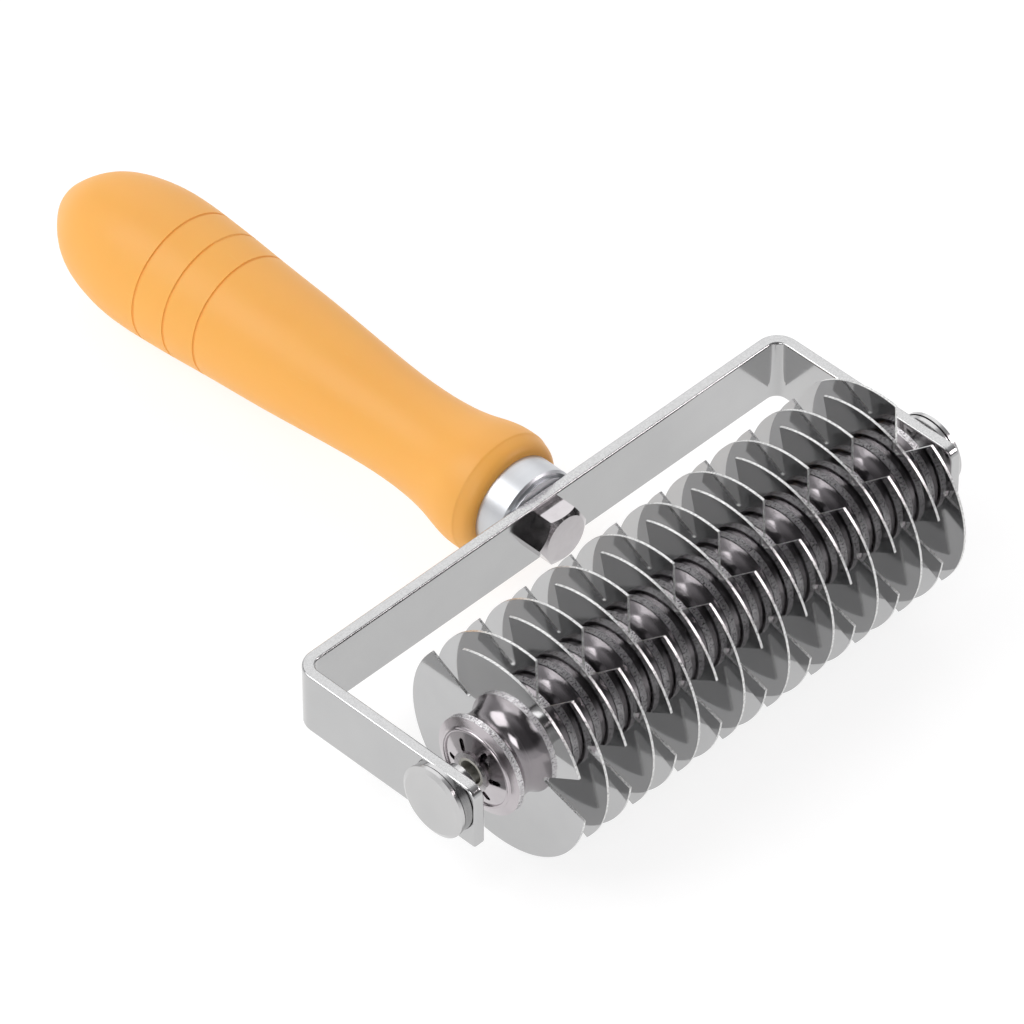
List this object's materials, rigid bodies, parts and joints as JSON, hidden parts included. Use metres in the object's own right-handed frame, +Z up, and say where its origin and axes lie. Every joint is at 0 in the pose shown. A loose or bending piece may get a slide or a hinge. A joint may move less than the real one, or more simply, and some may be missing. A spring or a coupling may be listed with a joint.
{
  "type": "lattice pastry cutter roller",
  "caption": "Hand roller of notched steel discs on spacers, turning between the arms of a bent strip frame, with a plastic handle; rolled over flat dough it cuts staggered slits for a lattice.",
  "frame": {"origin": "on the roller axis, half way between the two arms", "axes": "+X along the roller axis, +Y from the roller to the butt of the handle, +Z up; the strip frame lies level"},
  "size_m": [0.1244, 0.1757, 0.041],
  "materials": {
    "polished_disc_steel": "mirror polished",
    "turned_spacer_steel": "polished, with rough sheared rims",
    "tube_steel": "plain turned",
    "cap_steel": "polished",
    "bush_polymer": "plain moulded",
    "strip_steel": "satin, fine grain",
    "handle_plastic": "satin orange moulded plastic",
    "ferrule_aluminium": "satin turned",
    "insert_brass": "plain turned",
    "bolt_steel": "plain",
    "pin_steel": "satin"
  },
  "bodies": {
    "holder": {"frame": "strip_steel", "handle": "handle_plastic", "ferrule": "ferrule_aluminium", "threaded_insert": "insert_brass", "hex_bolt": "bolt_steel", "left_journal_pin": "pin_steel", "right_journal_pin": "pin_steel", "left_head_washer": "pin_steel", "right_head_washer": "pin_steel", "left_collar": "pin_steel", "right_collar": "pin_steel"},
    "roller": {"disc_01": "polished_disc_steel", "disc_02": "polished_disc_steel", "disc_03": "polished_disc_steel", "disc_04": "polished_disc_steel", "disc_05": "polished_disc_steel", "disc_06": "polished_disc_steel", "disc_07": "polished_disc_steel", "disc_08": "polished_disc_steel", "disc_09": "polished_disc_steel", "disc_10": "polished_disc_steel", "disc_11": "polished_disc_steel", "disc_12": "polished_disc_steel", "disc_13": "polished_disc_steel", "disc_14": "polished_disc_steel", "disc_15": "polished_disc_steel", "disc_16": "polished_disc_steel", "disc_17": "polished_disc_steel", "disc_18": "polished_disc_steel", "spacer_01": "turned_spacer_steel", "spacer_02": "turned_spacer_steel", "spacer_03": "turned_spacer_steel", "spacer_04": "turned_spacer_steel", "spacer_05": "turned_spacer_steel", "spacer_06": "turned_spacer_steel", "spacer_07": "turned_spacer_steel", "spacer_08": "turned_spacer_steel", "spacer_09": "turned_spacer_steel", "spacer_10": "turned_spacer_steel", "spacer_11": "turned_spacer_steel", "spacer_12": "turned_spacer_steel", "spacer_13": "turned_spacer_steel", "spacer_14": "turned_spacer_steel", "spacer_15": "turned_spacer_steel", "spacer_16": "turned_spacer_steel", "spacer_17": "turned_spacer_steel", "core_tube": "tube_steel", "left_end_spool": "turned_spacer_steel", "right_end_spool": "turned_spacer_steel", "left_end_cap": "cap_steel", "right_end_cap": "cap_steel", "left_bush": "bush_polymer", "right_bush": "bush_polymer"}
  },
  "joints": [
    {"name": "roller_spin", "type": "hinge", "parent": "holder", "child": "roller", "pos_m": [0, 0, 0], "axis": [1, 0, 0], "continuous": true}
  ]
}
